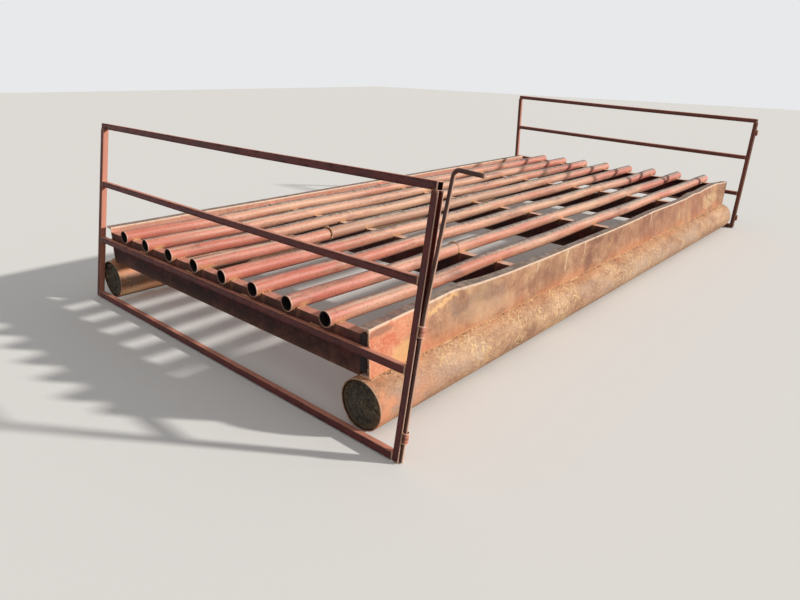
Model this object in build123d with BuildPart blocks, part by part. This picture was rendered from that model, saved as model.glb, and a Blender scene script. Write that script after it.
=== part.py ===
from build123d import *
from math import cos, radians, sin, sqrt, tan
import os

os.makedirs("parts", exist_ok=True)

# Cattle grid, in mm. X runs along the rail pipes, Y across them, Z up from level ground.
# End A is at -X and end B at +X. The right-hand side is at -Y.

# rail pipes, cut from used oilfield pipe
rail_count = 8
rail_od = 88.9
rail_wall = 6.5
rail_pitch = 292.7
rail_over_a = 35.0
rail_over_b = 108.0

# side beams, rolled 10 inch channel with tapered flanges
beam_length = 5625.0
beam_depth = 254.0
beam_flange = 66.0
beam_web = 7.0
beam_tip = 8.0
beam_root = 14.0
beam_root_r = 12.0
beam_toe_r = 6.0
clear_width = 2578.0

# cross beams, shallower channel under the rails
cross_count = 5
cross_depth = 220.0
cross_flange = 56.0
cross_web = 7.0
cross_tip = 8.0
cross_root = 12.0
cross_root_r = 9.0
cope_gap = 2.0
seat_half_width = 18.0
notch_half_width = 46.0
seat_depth = 24.0

# skid pipes under the side beams
skid_od = 273.0
skid_wall = 9.3
skid_over_a = 31.0
skid_over_b = 40.0

# soil packed in the skid mouths
soil_inset = 14.0
soil_length = 160.0

# guard frames, made from small channel and square tube
guard_section = 38.0
guard_wall = 3.2
guard_top_setback = 9.0

# the frame at end A leans on the ends of the side beams
guard_a_over = 434.0
guard_a_height = 1247.0
guard_a_mid_s = 809.0
guard_a_low_s = 409.0
guard_a_lean = 10.0
guard_a_off = -77.0

# the frame at end B leans on the ends of the left-hand rails and stands on its right foot
guard_b_over = 330.0
guard_b_height = 1200.0
guard_b_mid_s = 773.0
guard_b_low_s = 374.0
guard_b_lean = 5.1
guard_b_drop = 1.94
guard_b_off = 33.0

# sleeves on the guard posts
sleeve_len = 54.0
sleeve_od = 33.4
sleeve_wall = 3.4
sleeve_a_top_drop = 630.0
sleeve_a_low_s = 122.0
sleeve_b_top_drop = 141.0
sleeve_b_low_s = 117.0
sleeve_seam_deg = 3.0

# drop pin
pin_d = 19.0
pin_kink_over = 78.0
pin_kink_deg = 3.0
pin_top_over = 55.0
pin_handle = 146.0
pin_bend_r = 26.0
pin_gap = 0.5

# levels and lines that follow from the sizes above
lean_a = radians(guard_a_lean)
lean_b = radians(guard_b_lean)
drop_b = radians(guard_b_drop)
beam_base = skid_od
beam_top = beam_base + beam_depth
cross_top = beam_base + cross_depth
rail_z = cross_top - seat_depth + rail_od / 2
guard_a_width = clear_width + guard_a_over
guard_b_width = clear_width + guard_b_over
guard_a_lift = guard_section * sin(lean_a)
guard_b_lift = guard_b_width / 2 * sin(drop_b) + guard_section * sin(lean_b) * cos(drop_b)
guard_a_reach = (guard_a_low_s + guard_section) * sin(lean_a) + guard_section * cos(lean_a)
guard_b_reach = (guard_b_low_s + guard_section) * sin(lean_b) + guard_section * cos(lean_b)
mouth_half = guard_section / 2 - guard_wall
sleeve_nest = sqrt((sleeve_od / 2) ** 2 - mouth_half ** 2)
sleeve_a_top_s = guard_a_height - sleeve_a_top_drop
sleeve_b_top_s = guard_b_height - sleeve_b_top_drop

# the pin leans in its two sleeves until it meets the lower one inside and the upper one outside
pin_slack = sleeve_od / 2 - sleeve_wall - pin_d / 2 - pin_gap
pin_mid_s = (sleeve_a_top_s + sleeve_a_low_s) / 2
pin_slope = 2 * pin_slack / (sleeve_a_top_s - sleeve_a_low_s + sleeve_len)
pin_kink_s = sleeve_a_top_s + pin_kink_over
pin_top_s = guard_a_height + pin_top_over
pin_foot_x = sleeve_nest - pin_mid_s * pin_slope
pin_kink_x = sleeve_nest + (pin_kink_s - pin_mid_s) * pin_slope
pin_top_x = pin_kink_x + (pin_top_s - pin_kink_s) * (pin_slope + tan(radians(pin_kink_deg)))
pin_out = pin_top_x + pin_handle

# the middle of the grid in X and Y, so that the origin is under the middle of the whole part's box
mid_x = (guard_a_reach - rail_over_b - guard_b_reach) / 2
right_end = guard_a_off - guard_a_width / 2 - pin_out
foot_turn = guard_section * sin(drop_b) * sin(lean_b)
left_end = guard_b_off + guard_b_width / 2 * cos(drop_b) + foot_turn
mid_y = -(right_end + left_end) / 2

web_right = mid_y - clear_width / 2
web_left = mid_y + clear_width / 2
skid_right_y = web_right - beam_web + beam_flange / 2
skid_left_y = web_left + beam_flange / 2
rail_ys = [
    mid_y + (rail_count - 1) / 2 * rail_pitch - i * rail_pitch for i in range(rail_count)
]
end_a = mid_x - beam_length / 2
end_b = mid_x + beam_length / 2

# rail pipes
for i in range(rail_count):
    rail_plane = Plane(
        origin=(end_a - rail_over_a, rail_ys[i], rail_z), x_dir=(0, 1, 0), z_dir=(1, 0, 0)
    )
    with BuildPart() as rail_pipe:
        with BuildSketch(rail_plane):
            Circle(rail_od / 2)
            Circle(rail_od / 2 - rail_wall, mode=Mode.SUBTRACT)
        extrude(amount=beam_length + rail_over_a + rail_over_b)
    rail_pipe.part.label = "rail_pipe_" + str(i + 1)
    export_step(rail_pipe.part, "parts/rail_pipe_" + str(i + 1) + ".step")

# side beams: both channels open towards +Y
side_profile = [
    (0, 0),
    (beam_flange, 0),
    (beam_flange, beam_tip),
    (beam_web, beam_root),
    (beam_web, beam_depth - beam_root),
    (beam_flange, beam_depth - beam_tip),
    (beam_flange, beam_depth),
    (0, beam_depth),
]
right_beam_plane = Plane(
    origin=(end_a, web_right - beam_web, beam_base), x_dir=(0, 1, 0), z_dir=(1, 0, 0)
)
with BuildPart() as side_beam_right:
    with BuildSketch(right_beam_plane) as side_section:
        with BuildLine():
            Polyline(*side_profile, close=True)
        make_face()
        corners = side_section.vertices()
        fillet(corners.filter_by_position(Axis.X, beam_web - 1, beam_web + 1), beam_root_r)
        toes = side_section.vertices().filter_by_position(Axis.X, beam_flange - 1, beam_flange + 1)
        fillet(toes.filter_by_position(Axis.Y, 1, beam_depth - 1), beam_toe_r)
    extrude(amount=beam_length)
side_beam_right.part.label = "side_beam_right"
export_step(side_beam_right.part, "parts/side_beam_right.step")

left_beam_plane = Plane(
    origin=(end_a, web_left, beam_base), x_dir=(0, 1, 0), z_dir=(1, 0, 0)
)
with BuildPart() as side_beam_left:
    with BuildSketch(left_beam_plane) as side_section:
        with BuildLine():
            Polyline(*side_profile, close=True)
        make_face()
        corners = side_section.vertices()
        fillet(corners.filter_by_position(Axis.X, beam_web - 1, beam_web + 1), beam_root_r)
        toes = side_section.vertices().filter_by_position(Axis.X, beam_flange - 1, beam_flange + 1)
        fillet(toes.filter_by_position(Axis.Y, 1, beam_depth - 1), beam_toe_r)
    extrude(amount=beam_length)
side_beam_left.part.label = "side_beam_left"
export_step(side_beam_left.part, "parts/side_beam_left.step")

# cross beams: web towards end A, but the last one's towards end B, so that both ends are closed;
# notched for the rails, and coped round the right side beam's flange
cross_profile = [
    (0, 0),
    (cross_flange, 0),
    (cross_flange, cross_tip),
    (cross_web, cross_root),
    (cross_web, cross_depth - cross_root),
    (cross_flange, cross_depth - cross_tip),
    (cross_flange, cross_depth),
    (0, cross_depth),
]
notch_profile = [
    (-seat_half_width, cross_top - seat_depth),
    (seat_half_width, cross_top - seat_depth),
    (notch_half_width, cross_top),
    (notch_half_width, cross_top + seat_depth),
    (-notch_half_width, cross_top + seat_depth),
    (-notch_half_width, cross_top),
]
cross_step = (beam_length - cross_flange) / (cross_count - 1)
for i in range(cross_count):
    cross_x = end_a + i * cross_step
    facing = -1 if i == cross_count - 1 else 1
    web_x = end_b if facing < 0 else cross_x
    cross_plane = Plane(
        origin=(web_x, web_right, beam_base), x_dir=(facing, 0, 0), z_dir=(0, 1, 0)
    )
    with BuildPart() as cross_beam:
        with BuildSketch(cross_plane) as cross_section:
            with BuildLine():
                Polyline(*[(px, -facing * pz) for px, pz in cross_profile], close=True)
            make_face()
            corners = cross_section.vertices()
            fillet(corners.filter_by_position(Axis.X, cross_web - 1, cross_web + 1), cross_root_r)
        extrude(amount=clear_width)
        for rail_y in rail_ys:
            notch_plane = Plane(
                origin=(cross_x, rail_y, 0), x_dir=(0, 1, 0), z_dir=(1, 0, 0)
            )
            with BuildSketch(notch_plane):
                with BuildLine():
                    Polyline(*notch_profile, close=True)
                make_face()
            extrude(amount=cross_flange, mode=Mode.SUBTRACT)
        cope_plane = Plane(
            origin=(cross_x, web_right, beam_base), x_dir=(0, 1, 0), z_dir=(1, 0, 0)
        )
        with BuildSketch(cope_plane):
            Rectangle(
                beam_flange - beam_web + cope_gap,
                beam_root + beam_root_r + cope_gap,
                align=(Align.MIN, Align.MIN),
            )
        extrude(amount=cross_flange, mode=Mode.SUBTRACT)
    cross_beam.part.label = "cross_beam_" + str(i + 1)
    export_step(cross_beam.part, "parts/cross_beam_" + str(i + 1) + ".step")

# skid pipes
skid_length = beam_length + skid_over_a + skid_over_b
skid_right_plane = Plane(
    origin=(end_a - skid_over_a, skid_right_y, skid_od / 2), x_dir=(0, 1, 0), z_dir=(1, 0, 0)
)
with BuildPart() as skid_pipe_right:
    with BuildSketch(skid_right_plane):
        Circle(skid_od / 2)
        Circle(skid_od / 2 - skid_wall, mode=Mode.SUBTRACT)
    extrude(amount=skid_length)
skid_pipe_right.part.label = "skid_pipe_right"
export_step(skid_pipe_right.part, "parts/skid_pipe_right.step")

skid_left_plane = Plane(
    origin=(end_a - skid_over_a, skid_left_y, skid_od / 2), x_dir=(0, 1, 0), z_dir=(1, 0, 0)
)
with BuildPart() as skid_pipe_left:
    with BuildSketch(skid_left_plane):
        Circle(skid_od / 2)
        Circle(skid_od / 2 - skid_wall, mode=Mode.SUBTRACT)
    extrude(amount=skid_length)
skid_pipe_left.part.label = "skid_pipe_left"
export_step(skid_pipe_left.part, "parts/skid_pipe_left.step")

# soil plugs in the four mouths
soil_spots = {
    "soil_plug_right_a": (skid_right_plane, soil_inset),
    "soil_plug_right_b": (skid_right_plane, skid_length - soil_inset - soil_length),
    "soil_plug_left_a": (skid_left_plane, soil_inset),
    "soil_plug_left_b": (skid_left_plane, skid_length - soil_inset - soil_length),
}
for soil_name, (mouth_plane, soil_start) in soil_spots.items():
    with BuildPart() as soil_plug:
        with BuildSketch(mouth_plane.offset(soil_start)):
            Circle(skid_od / 2 - skid_wall)
        extrude(amount=soil_length)
    soil_plug.part.label = soil_name
    export_step(soil_plug.part, "parts/" + soil_name + ".step")

# guard frames: local x across the frame, local y out from the grid, local z up the leaning frame
guard_planes = {
    "a": Plane(
        origin=(end_a - guard_a_reach, mid_y + guard_a_off, guard_a_lift),
        x_dir=(0, 1, 0),
        z_dir=(sin(lean_a), 0, cos(lean_a)),
    ),
    "b": Plane(
        origin=(end_b + rail_over_b + guard_b_reach, mid_y + guard_b_off, guard_b_lift),
        x_dir=(0, -cos(drop_b), -sin(drop_b)),
        z_dir=(-sin(lean_b), -sin(drop_b) * cos(lean_b), cos(drop_b) * cos(lean_b)),
    ),
}
guard_sizes = {
    "a": (guard_a_width, guard_a_height, guard_a_low_s, guard_a_mid_s),
    "b": (guard_b_width, guard_b_height, guard_b_low_s, guard_b_mid_s),
}
post_profile = [
    (0, 0),
    (guard_section, 0),
    (guard_section, -guard_section),
    (0, -guard_section),
    (0, -guard_section + guard_wall),
    (guard_section - guard_wall, -guard_section + guard_wall),
    (guard_section - guard_wall, -guard_wall),
    (0, -guard_wall),
]
for end_name, guard_plane in guard_planes.items():
    guard_width, guard_height, guard_low_s, guard_mid_s = guard_sizes[end_name]
    inner_width = guard_width - 2 * guard_section
    post_height = guard_height - guard_section

    # a post is a channel with its web inside the frame and its open side outwards
    for side_name, side in (("low_side", -1), ("high_side", 1)):
        with BuildPart() as guard_post:
            with BuildSketch(guard_plane):
                with BuildLine():
                    Polyline(
                        *[(side * (guard_width / 2 - px), py) for px, py in post_profile],
                        close=True,
                    )
                make_face()
            extrude(amount=post_height)
        right_hand = (side < 0) == (end_name == "a")
        post_name = "guard_" + end_name + "_post_" + ("right" if right_hand else "left")
        guard_post.part.label = post_name
        export_step(guard_post.part, "parts/" + post_name + ".step")

    # rails between the posts: square tube
    for rail_name, rail_s in (("foot", 0.0), ("low", guard_low_s), ("mid", guard_mid_s)):
        rail_start = Plane(
            origin=guard_plane.from_local_coords((-inner_width / 2, 0, rail_s)),
            x_dir=guard_plane.y_dir,
            z_dir=guard_plane.x_dir,
        )
        with BuildPart() as guard_rail:
            with BuildSketch(rail_start):
                Rectangle(guard_section, guard_section, align=(Align.MAX, Align.MIN))
                with Locations((-guard_section / 2, guard_section / 2)):
                    Rectangle(
                        guard_section - 2 * guard_wall,
                        guard_section - 2 * guard_wall,
                        mode=Mode.SUBTRACT,
                    )
            extrude(amount=inner_width)
        guard_rail.part.label = "guard_" + end_name + "_rail_" + rail_name
        export_step(guard_rail.part, "parts/guard_" + end_name + "_rail_" + rail_name + ".step")

    # the top rail runs over both posts, a little short of their outer sides, and is open at its ends
    top_start = Plane(
        origin=guard_plane.from_local_coords(
            (-guard_width / 2 + guard_top_setback, 0, post_height)
        ),
        x_dir=guard_plane.y_dir,
        z_dir=guard_plane.x_dir,
    )
    with BuildPart() as guard_top:
        with BuildSketch(top_start):
            Rectangle(guard_section, guard_section, align=(Align.MAX, Align.MIN))
            with Locations((-guard_section / 2, guard_section / 2)):
                Rectangle(
                    guard_section - 2 * guard_wall,
                    guard_section - 2 * guard_wall,
                    mode=Mode.SUBTRACT,
                )
        extrude(amount=guard_width - 2 * guard_top_setback)
    guard_top.part.label = "guard_" + end_name + "_rail_top"
    export_step(guard_top.part, "parts/guard_" + end_name + "_rail_top.step")

# sleeves: short pipes nested in the open side of the right-hand posts
sleeve_spots = {
    "sleeve_a_upper": ("a", -1, sleeve_a_top_s),
    "sleeve_a_lower": ("a", -1, sleeve_a_low_s),
    "sleeve_b_upper": ("b", 1, sleeve_b_top_s),
    "sleeve_b_lower": ("b", 1, sleeve_b_low_s),
}
for sleeve_name, (end_name, side, sleeve_s) in sleeve_spots.items():
    guard_plane = guard_planes[end_name]
    sleeve_foot = guard_plane.from_local_coords(
        (
            side * (guard_sizes[end_name][0] / 2 + sleeve_nest),
            -guard_section / 2,
            sleeve_s - sleeve_len / 2,
        )
    )
    seam = radians(sleeve_seam_deg)
    sleeve_plane = Plane(
        origin=sleeve_foot,
        x_dir=guard_plane.x_dir * cos(seam) + guard_plane.y_dir * sin(seam),
        z_dir=guard_plane.z_dir,
    )
    with BuildPart() as sleeve:
        with BuildSketch(sleeve_plane):
            Circle(sleeve_od / 2)
            Circle(sleeve_od / 2 - sleeve_wall, mode=Mode.SUBTRACT)
        extrude(amount=sleeve_len)
    sleeve.part.label = sleeve_name
    export_step(sleeve.part, "parts/" + sleeve_name + ".step")

# drop pin: a round rod bent outwards above the upper sleeve, with a bent-over handle
guard_plane = guard_planes["a"]
pin_plane = Plane(
    origin=guard_plane.from_local_coords((-guard_a_width / 2, -guard_section / 2, 0)),
    x_dir=-guard_plane.x_dir,
    z_dir=guard_plane.y_dir,
)
with BuildPart() as drop_pin:
    with BuildLine(pin_plane) as pin_path:
        FilletPolyline(
            (pin_foot_x, 0),
            (pin_kink_x, pin_kink_s),
            (pin_top_x, pin_top_s),
            (pin_out, pin_top_s),
            radius=pin_bend_r,
        )
    with BuildSketch(Plane(origin=pin_path.line @ 0, z_dir=pin_path.line % 0)):
        Circle(pin_d / 2)
    sweep()
drop_pin.part.label = "drop_pin"
export_step(drop_pin.part, "parts/drop_pin.step")
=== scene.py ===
import math
import random

import bmesh
import bpy
from mathutils import Matrix, Vector, noise


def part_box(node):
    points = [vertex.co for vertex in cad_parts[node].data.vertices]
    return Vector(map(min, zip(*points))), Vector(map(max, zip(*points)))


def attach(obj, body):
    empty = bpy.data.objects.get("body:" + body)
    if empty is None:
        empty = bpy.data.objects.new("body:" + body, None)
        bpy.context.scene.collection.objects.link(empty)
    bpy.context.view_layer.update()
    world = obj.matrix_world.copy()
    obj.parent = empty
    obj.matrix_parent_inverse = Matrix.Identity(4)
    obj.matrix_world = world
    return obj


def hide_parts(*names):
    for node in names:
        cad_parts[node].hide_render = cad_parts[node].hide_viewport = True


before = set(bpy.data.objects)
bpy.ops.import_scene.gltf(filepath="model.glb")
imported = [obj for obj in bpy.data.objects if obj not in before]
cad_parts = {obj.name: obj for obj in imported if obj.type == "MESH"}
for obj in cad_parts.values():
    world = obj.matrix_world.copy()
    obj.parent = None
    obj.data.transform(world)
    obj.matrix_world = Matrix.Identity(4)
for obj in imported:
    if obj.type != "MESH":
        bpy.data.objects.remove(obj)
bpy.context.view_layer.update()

scene = bpy.context.scene

# Skid pipes: two lengths of used 10 inch line pipe that carry the grid, so that it can be dragged.
# Steel, torch cut at the ends, its mill scale long gone: rusted tan and ochre, with rub marks and
# scrapes running round it. The side beams are welded along their tops.
skid_wall = 0.0093
skid_sides = 64
skid_gap = 0.06
skid_knock = 0.014
skid_ripple = 0.0012
skid_cut = 0.0025
# spots of painted shade on the right skid, in the gap under the side beam's web at the near end
skid_shade_spots = ((-2.7290, -1.1605, 0.2660), (-2.7162, -1.1620, 0.2655))


def shade(red, green, blue):
    """A colour given as 0 to 255, made linear for a node."""
    return tuple(((part / 255 + 0.055) / 1.055) ** 2.4 for part in (red, green, blue)) + (1.0,)


class Reading:
    """What a node gives out. Where it is a number, it can be added to, multiplied and so on."""

    def __init__(self, socket):
        self.socket = socket
        self.tree = socket.id_data

    def calc(self, operation, other=0.5, swapped=False):
        made = self.tree.nodes.new("ShaderNodeMath")
        made.operation = operation
        feed(made.inputs[1 if swapped else 0], self)
        feed(made.inputs[0 if swapped else 1], other)
        return Reading(made.outputs[0])

    def __add__(self, other):
        return self.calc("ADD", other)

    def __sub__(self, other):
        return self.calc("SUBTRACT", other)

    def __rsub__(self, other):
        return self.calc("SUBTRACT", other, True)

    def __mul__(self, other):
        return self.calc("MULTIPLY", other)

    def __truediv__(self, other):
        return self.calc("DIVIDE", other)

    def __abs__(self):
        return self.calc("ABSOLUTE")

    def step(self, low, high):
        """A soft step from 0 at low to 1 at high."""
        ends = {"Value": self, "From Min": low, "From Max": high}
        return put(self.tree, "ShaderNodeMapRange", ends, interpolation_type="SMOOTHSTEP")


def feed(socket, value):
    """Links a socket to a reading, or sets it to a plain value."""
    if isinstance(value, Reading):
        socket.id_data.links.new(value.socket, socket)
    else:
        socket.default_value = value


def put(tree, kind, sockets=None, output=0, **settings):
    """A new node with its settings and its inputs; gives one of its outputs."""
    made = tree.nodes.new(kind)
    for key, value in settings.items():
        setattr(made, key, value)
    for key, value in (sockets or {}).items():
        feed(made.inputs[key], value)
    return Reading(made.outputs[output])


def parts(vector):
    """The x, y and z of a vector."""
    split = put(vector.tree, "ShaderNodeSeparateXYZ", {0: vector})
    return [Reading(output) for output in split.socket.node.outputs]


def join(x, y, z):
    return put(x.tree, "ShaderNodeCombineXYZ", {0: x, 1: y, 2: z})


def facing_way(tree):
    """The x, y and z of the way that the surface faces."""
    return parts(put(tree, "ShaderNodeNewGeometry", output="Normal"))


def stretch(vector, x=1.0, y=1.0, z=1.0):
    """The same coordinates, drawn out or squeezed along an axis."""
    return put(vector.tree, "ShaderNodeVectorMath", {0: vector, 1: (x, y, z)}, operation="MULTIPLY")


def cloud(vector, scale, detail=5.0, rough=0.6):
    sockets = {"Vector": vector, "Scale": scale, "Detail": detail, "Roughness": rough}
    return put(vector.tree, "ShaderNodeTexNoise", sockets)


def mix(amount, first, second):
    """The first colour where the amount is 0 and the second where it is 1; three parts are 0 to 255."""
    made = amount.tree.nodes.new("ShaderNodeMix")
    made.data_type = "RGBA"
    feed(made.inputs[0], amount)
    for number, colour in ((6, first), (7, second)):
        three = isinstance(colour, tuple) and len(colour) == 3
        feed(made.inputs[number], shade(*colour) if three else colour)
    return Reading(made.outputs[2])


def lay_on(colour, *layers):
    """Lays tones over a colour one after another, each as (mask, how strongly, tone)."""
    for mask, share, tone in layers:
        colour = mix(mask * share, colour, tone)
    return colour


def start_group(name, tree_kind, inputs, outputs):
    """A node group, what comes in and its way out. An input is a first value or a kind of socket."""
    kinds = {float: "Float", int: "Int"}
    group = bpy.data.node_groups.new(name, tree_kind)
    for label, value in inputs.items():
        kind = kinds.get(type(value), value)
        socket = group.interface.new_socket(name=label, in_out="INPUT", socket_type="NodeSocket" + kind)
        if kind != value:
            socket.default_value = value
    for label, kind in outputs.items():
        group.interface.new_socket(name=label, in_out="OUTPUT", socket_type="NodeSocket" + kind)
    entry = {socket.name: Reading(socket) for socket in group.nodes.new("NodeGroupInput").outputs}
    return group, entry, group.nodes.new("NodeGroupOutput").inputs


def start_mask(name, **amounts):
    """A group that makes one mask out of coordinates and some amounts."""
    return start_group(name, "ShaderNodeTree", {"Vector": "Vector", **amounts}, {"Mask": "Float"})


def use(group, vector, **amounts):
    """A node group at work on a vector; gives its outputs by their names."""
    made = vector.tree.nodes.new("ShaderNodeGroup")
    made.node_tree = group
    for key, value in {"Vector": vector, **amounts}.items():
        feed(made.inputs[key], value)
    return {output.name: Reading(output) for output in made.outputs}


rust_tones, entry, leave = start_group(
    "rust_tones",
    "ShaderNodeTree",
    {"Vector": "Vector", "Scale": 3.0, "Dark": "Color", "Middle": "Color", "Light": "Color"},
    {"Color": "Color", "Height": "Float", "Roughness": "Float"},
)
broad = cloud(entry["Vector"], entry["Scale"], 6.0)
middling = cloud(entry["Vector"], entry["Scale"] * 4.3, 6.0, 0.64)
fine = cloud(entry["Vector"], entry["Scale"] * 17.0, 5.0, 0.66)
pits = cloud(entry["Vector"], entry["Scale"] * 62.0, 3.0)
blend = broad * 0.46 + middling * 0.34 + fine * 0.2
pale = blend.step(0.49, 0.61)
rust_body = lay_on(
    mix(blend.step(0.4, 0.52), entry["Dark"], entry["Middle"]),
    (pale, 1.0, entry["Light"]),
    (pits.step(0.55, 0.68), 0.5, entry["Dark"]),
    (pits.step(0.42, 0.33), 0.45, entry["Light"]),
)
feed(leave["Color"], rust_body)
feed(leave["Height"], fine * 0.65 + pits * 0.35)
feed(leave["Roughness"], 0.92 - pale * 0.14)


def rust(vector, scale, *colours):
    """Rust in clouds of three colours, dark to light: gives a colour, a height and a roughness."""
    dark, middle, light = [shade(*colour) for colour in colours]
    return use(rust_tones, vector, Scale=scale, Dark=dark, Middle=middle, Light=light)


# a mask of the places where a surface has worn through: the edges first
worn_places, entry, leave = start_mask("worn_places", Scale=8.0, Edge=0.0, Amount=0.3, Softness=0.06)
patchy = cloud(entry["Vector"], entry["Scale"], 7.0, 0.66)
total = patchy + entry["Edge"] * 0.42 + entry["Amount"]
feed(leave["Mask"], total.step(1.0 - entry["Softness"], entry["Softness"] + 1.0))

# a mask in patches on surfaces that face up, used for dust and painted sky reflection on the flanges and for
# painted light on the tab tops
facing_up_patches, entry, leave = start_mask("facing_up_patches", Scale=6.0, Start=0.55, Full=0.95, Patchiness=0.5)
lying = facing_way(facing_up_patches)[2].step(entry["Start"], entry["Full"])
thin = cloud(entry["Vector"], entry["Scale"], 6.0, 0.64).step(0.36, 0.6) * entry["Patchiness"]
feed(leave["Mask"], lying * (thin + (1.0 - entry["Patchiness"])))

# a mask of runs or scrapes, long in the direction that the coordinates are drawn out
streak_marks, entry, leave = start_mask("streak_marks", Scale=20.0, Low=0.52, High=0.7)
lines = cloud(entry["Vector"], entry["Scale"], 4.0, 0.55).step(entry["Low"], entry["High"])
feed(leave["Mask"], lines * cloud(entry["Vector"], 1.7, 3.0, 0.5).step(0.4, 0.62))

# a mask of short crossing scrapes in patches, on coordinates that lie flat on the surface
crossed_scrapes, entry, leave = start_mask("crossed_scrapes", Scale=30.0, Low=0.6, Spread=0.5)
strokes = 0.0
for stroke_turn in (0.75, -0.5, 1.35):
    sockets = {"Vector": entry["Vector"], "Angle": stroke_turn}
    turned = put(crossed_scrapes, "ShaderNodeVectorRotate", sockets, rotation_type="Z_AXIS")
    stroke = cloud(stretch(turned, x=0.2), entry["Scale"], 3.0, 0.55)
    strokes = stroke.step(entry["Low"], entry["Low"] + 0.07).calc("MAXIMUM", strokes)
patches = cloud(entry["Vector"], 2.1, 3.0, 0.55).step(entry["Spread"], entry["Spread"] + 0.1)
feed(leave["Mask"], strokes * patches)


def start_material(name):
    """A material, its shader, the piece's own coordinates, and its vertex amounts: how worn, and painted
    shade below zero.
    """
    material = bpy.data.materials.new(name)
    material.use_nodes = True
    tree = material.node_tree
    tree.nodes.clear()
    shader = tree.nodes.new("ShaderNodeBsdfPrincipled")
    output = tree.nodes.new("ShaderNodeOutputMaterial")
    tree.links.new(shader.outputs[0], output.inputs[0])
    where = put(tree, "ShaderNodeTexCoord", output="Object")
    wear = put(tree, "ShaderNodeAttribute", output="Fac", attribute_name="wear")
    return material, shader, where, wear


def end_material(shader, colour, roughness, height, strength, metallic=0.0):
    bump = {"Strength": strength, "Distance": 0.004, "Height": height}
    feed(shader.inputs["Base Color"], colour)
    feed(shader.inputs["Roughness"], roughness)
    feed(shader.inputs["Metallic"], metallic)
    feed(shader.inputs["Normal"], put(shader.id_data, "ShaderNodeBump", bump))


def shaded_inner_skin(wear):
    """A mask of the inner skin of a tube, where the vertex amount is below zero; materials paint shade
    there.
    """
    return wear.step(-0.05, -0.5)


def pipe_place(low, high):
    """The radius of a pipe that lies along x, and the y and z of its middle line, from its box."""
    return (high.z - low.z) / 2, (low.y + high.y) / 2, (low.z + high.z) / 2


skid_rust, shader, where, wear = start_material("skid_rust")
x, y, z = parts(where)
skid_middle, skid_right_y, _ = pipe_place(*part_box("skid_pipe_right"))
skid_left_y = pipe_place(*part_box("skid_pipe_left"))[1]
pipe_y = y.calc("GREATER_THAN", 0.0) * (skid_left_y - skid_right_y) + skid_right_y
girth = (y - pipe_y).calc("ARCTAN2", skid_middle - z) * skid_middle
wrapped = join(x, girth, 0.0)

scale_left = cloud(stretch(wrapped, x=0.34), 2.6, 6.0, 0.62).step(0.47, 0.6)
scale_left = scale_left * (z.step(0.07, 0.13) * z.step(0.255, 0.2))
burnt = z.step(0.1, 0.03) + z.step(0.225, 0.262)
burnt = burnt * cloud(where, 6.0, 6.0, 0.64).step(0.36, 0.6)
rings = use(streak_marks, stretch(wrapped, y=0.14), Scale=34.0, Low=0.54, High=0.74)["Mask"]
scrapes = use(crossed_scrapes, wrapped, Scale=72.0, Low=0.57, Spread=0.46)["Mask"]
far_off = 0.68 - x.step(-0.4, 1.2) * 0.34
rubs = use(crossed_scrapes, wrapped, Scale=36.0, Low=0.58, Spread=0.42)["Mask"]
grains = cloud(wrapped, 110.0, 4.0, 0.7).step(0.53, 0.62) * cloud(wrapped, 3.4, 4.0).step(0.38, 0.56)
skid_specks = cloud(wrapped, 62.0, 5.0, 0.74)
red_end = x.step(-2.3, -2.8) * cloud(where, 5.0, 6.0).step(0.42, 0.6)
bare = use(worn_places, where, Scale=22.0, Edge=wear.step(0.7, 1.0), Amount=0.2)["Mask"]
tones = rust(stretch(where, x=0.5), 3.6, (146, 104, 80), (184, 141, 110), (214, 174, 138))
skid_colour = lay_on(
    tones["Color"],
    (scale_left, 0.8, (178, 148, 130)),
    (burnt, 0.6, (200, 136, 92)),
    (rings, 0.25, (234, 198, 152)),
    (scrapes, far_off, (240, 210, 160)),
    (rubs, 0.4, (222, 174, 112)),
    (grains, 0.4, (240, 206, 164)),
    (skid_specks.step(0.46, 0.36), 0.5, (138, 92, 68)),
    (skid_specks.step(0.55, 0.64), 0.4, (240, 206, 164)),
    (z.step(0.05, 0.0), 0.5, (118, 88, 62)),
    (red_end, 0.75, (234, 156, 114)),
    (bare, 0.9, (222, 196, 168)),
)
# painted shade: near-black spots on the skid in the gap under the web's edge
for shade_spot in skid_shade_spots:
    from_shade_spot = put(where.tree, "ShaderNodeVectorMath", {0: where, 1: shade_spot}, "Value", operation="DISTANCE")
    skid_colour = lay_on(skid_colour, (from_shade_spot.step(0.006, 0.0035), 1.0, (30, 20, 18)))
# painted shade: the inside of the skid pipe darkened
skid_colour = lay_on(skid_colour, (shaded_inner_skin(wear), 1.0, (58, 42, 34)))
end_material(shader, skid_colour, tones["Roughness"], tones["Height"], 0.35)


def wavering(spot, size, seed):
    """A smooth random height for a place, the same every run."""
    return noise.noise(Vector(spot) * size + Vector((seed, 2.3 * seed, 0.7 * seed)))


def spaced(start, end, gap, rim=0.001):
    """Stations along a length, closer together at its ends."""
    count = max(2, round((end - start) / gap))
    middle = [start + (end - start) * i / count for i in range(1, count)]
    middle = [place for place in middle if start + 0.04 < place < end - 0.04]
    return [start + rim, start + 0.01, start + 0.03] + middle + [end - 0.03, end - 0.01, end - rim]


def end_wear(place, start, end, fading=0.02):
    return max(0.0, 1.0 - min(place - start, end - place) / fading)


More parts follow.
